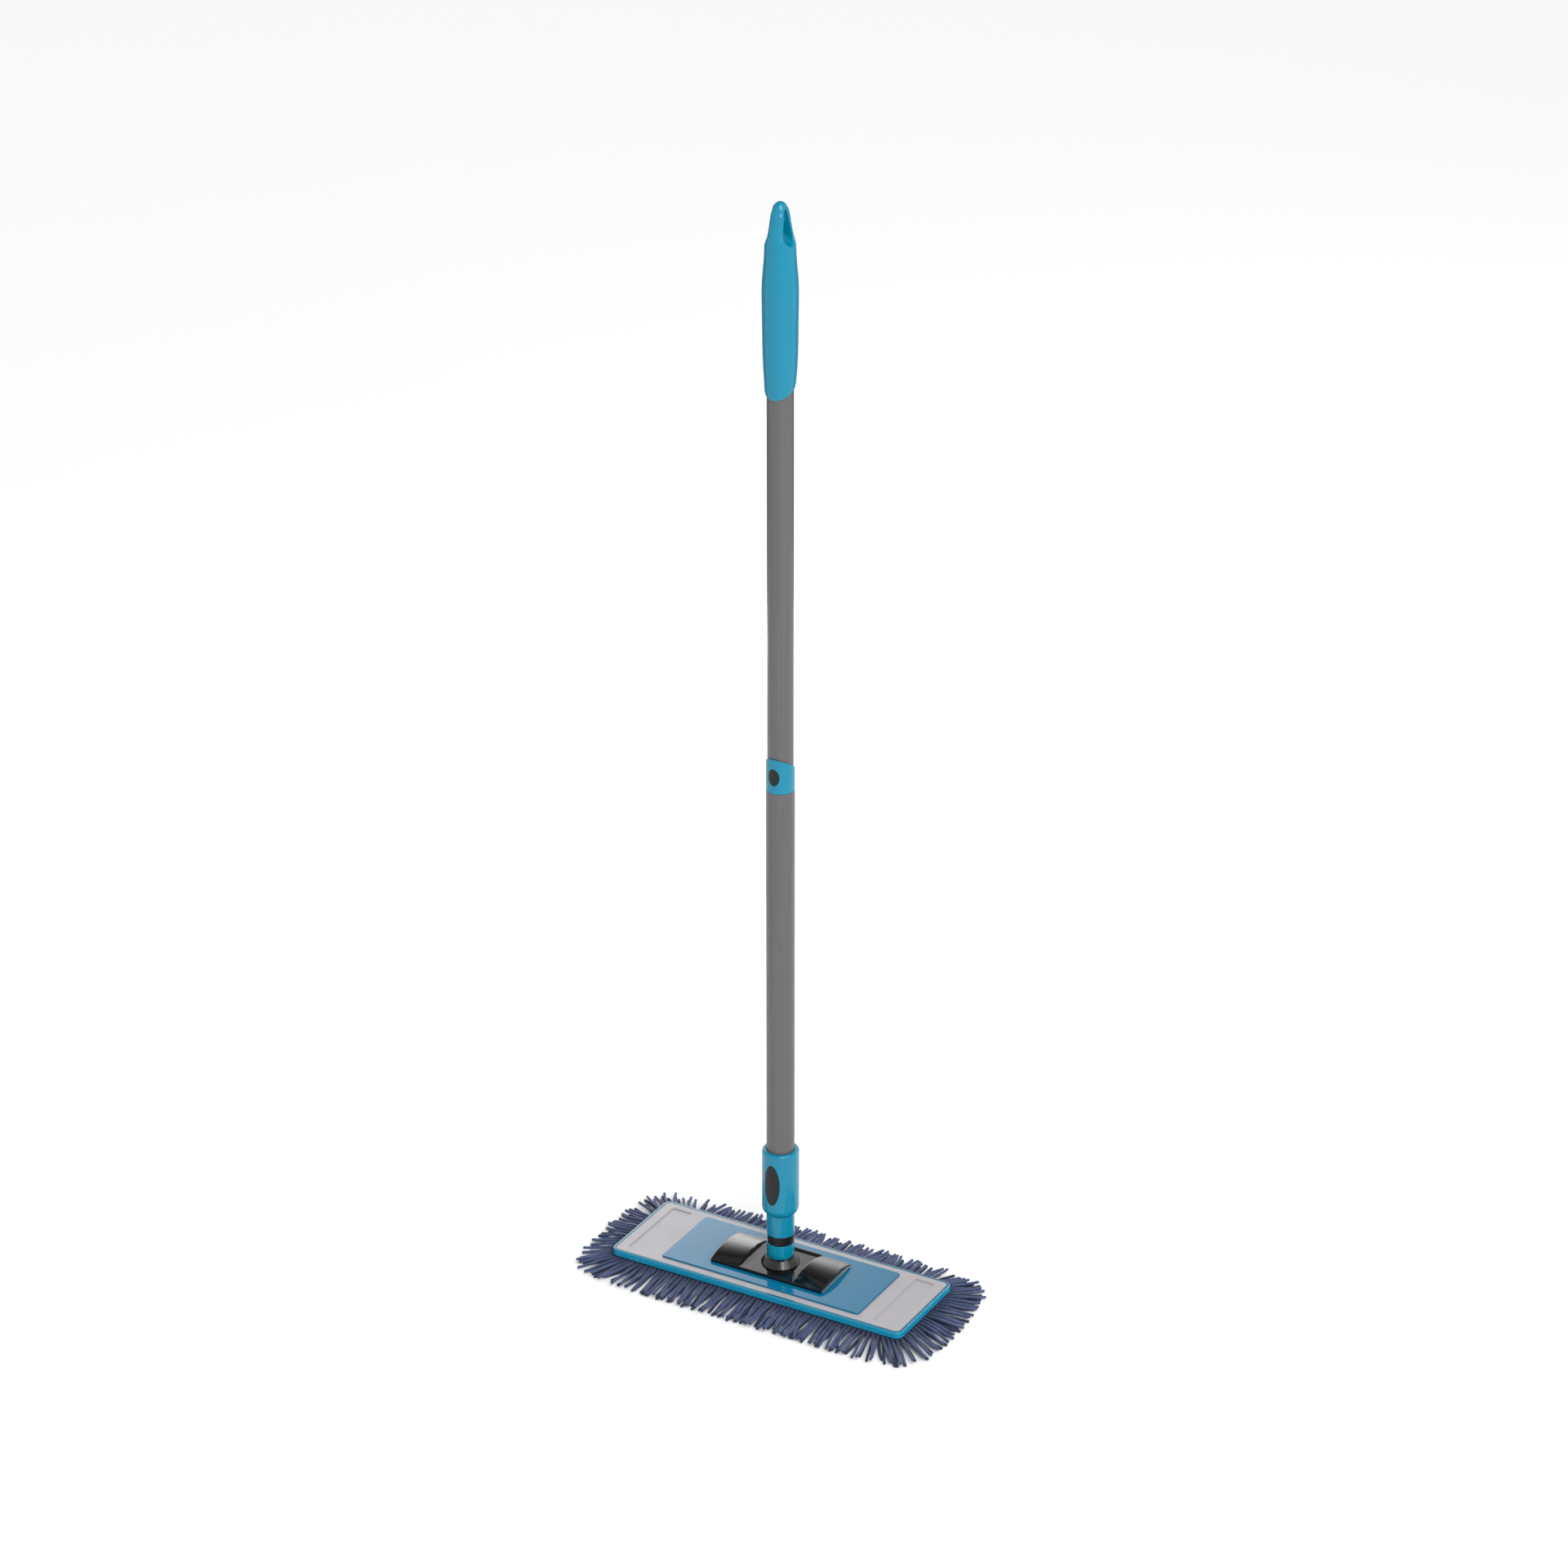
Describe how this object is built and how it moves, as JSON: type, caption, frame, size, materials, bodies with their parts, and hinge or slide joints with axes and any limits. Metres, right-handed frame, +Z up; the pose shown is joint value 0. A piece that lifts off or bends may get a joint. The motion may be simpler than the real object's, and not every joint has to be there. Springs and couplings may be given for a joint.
{
  "type": "flat mop",
  "caption": "Flat floor mop: fringed microfibre pad on an oblong plate, hooded universal joint, telescopic pole and moulded grip with a hanging hole.",
  "frame": {"origin": "on the floor under the pole's axis, at the centre of the pad", "axes": "+X along the mop head's long side, -Y the side the push buttons face, +Z up along the pole"},
  "size_m": [0.414, 0.1924, 1.143],
  "materials": {
    "blue_plastic": "satin moulded polypropylene",
    "blue_gloss_plastic": "high gloss",
    "light_grey_plastic": "satin",
    "black_gloss_plastic": "high gloss",
    "black_plastic": "satin",
    "grey_tube": "satin grey coating",
    "steel": "bright zinc plate",
    "microfibre": "slate blue chenille",
    "pad_cloth": "woven backing",
    "hook_tape": "nylon hooks"
  },
  "bodies": {
    "head": {"pad_pile": "microfibre", "pad_backing": "pad_cloth", "pad_fringe": "microfibre", "mop_frame": "blue_plastic", "hook_strip_front": "hook_tape", "hook_strip_rear": "hook_tape", "top_cover": "light_grey_plastic", "inset_panel": "blue_gloss_plastic", "swivel_base": "black_gloss_plastic", "joint_cup": "black_gloss_plastic", "pivot_post": "black_plastic", "base_screw_1": "steel", "base_screw_2": "steel", "base_screw_3": "steel", "base_screw_4": "steel", "cover_screw_1": "steel", "cover_screw_2": "steel", "cover_screw_3": "steel", "cover_screw_4": "steel"},
    "yoke": {"swivel_yoke": "black_plastic", "yoke_pin": "steel", "hood_pin_front": "steel", "hood_pin_rear": "steel"},
    "neck": {"hood": "blue_plastic", "neck_band": "black_gloss_plastic", "neck_screw": "steel", "socket": "blue_plastic"},
    "release_button": {"socket_button": "black_plastic", "socket_lock_ring": "black_plastic"},
    "lower_pole": {"lower_tube": "grey_tube", "collar": "blue_plastic", "clamp_ring": "steel"},
    "telescope_button": {"collar_button": "black_plastic"},
    "upper_pole": {"upper_tube": "grey_tube", "guide_bush": "black_plastic", "grip": "blue_plastic"}
  },
  "joints": [
    {"name": "tilt_fore_aft", "type": "hinge", "parent": "head", "child": "yoke", "pos_m": [0, 0, 0.0366], "axis": [1, 0, 0], "range_deg": [-42, 42]},
    {"name": "tilt_side", "type": "hinge", "parent": "yoke", "child": "neck", "pos_m": [0, 0, 0.0366], "axis": [0, 1, 0], "range_deg": [-20, 20]},
    {"name": "socket_button_press", "type": "slide", "parent": "neck", "child": "release_button", "axis": [0, 1, 0], "range_m": [0, 0.0015], "stiffness_N_per_m": 3000},
    {"name": "pole_release", "type": "slide", "parent": "neck", "child": "lower_pole", "axis": [0, 0, 1], "range_m": [0, 0.062]},
    {"name": "collar_button_press", "type": "slide", "parent": "lower_pole", "child": "telescope_button", "axis": [0, 1, 0], "range_m": [0, 0.0007], "stiffness_N_per_m": 4000},
    {"name": "telescope", "type": "slide", "parent": "lower_pole", "child": "upper_pole", "axis": [0, 0, 1], "range_m": [-0.36, 0]}
  ]
}
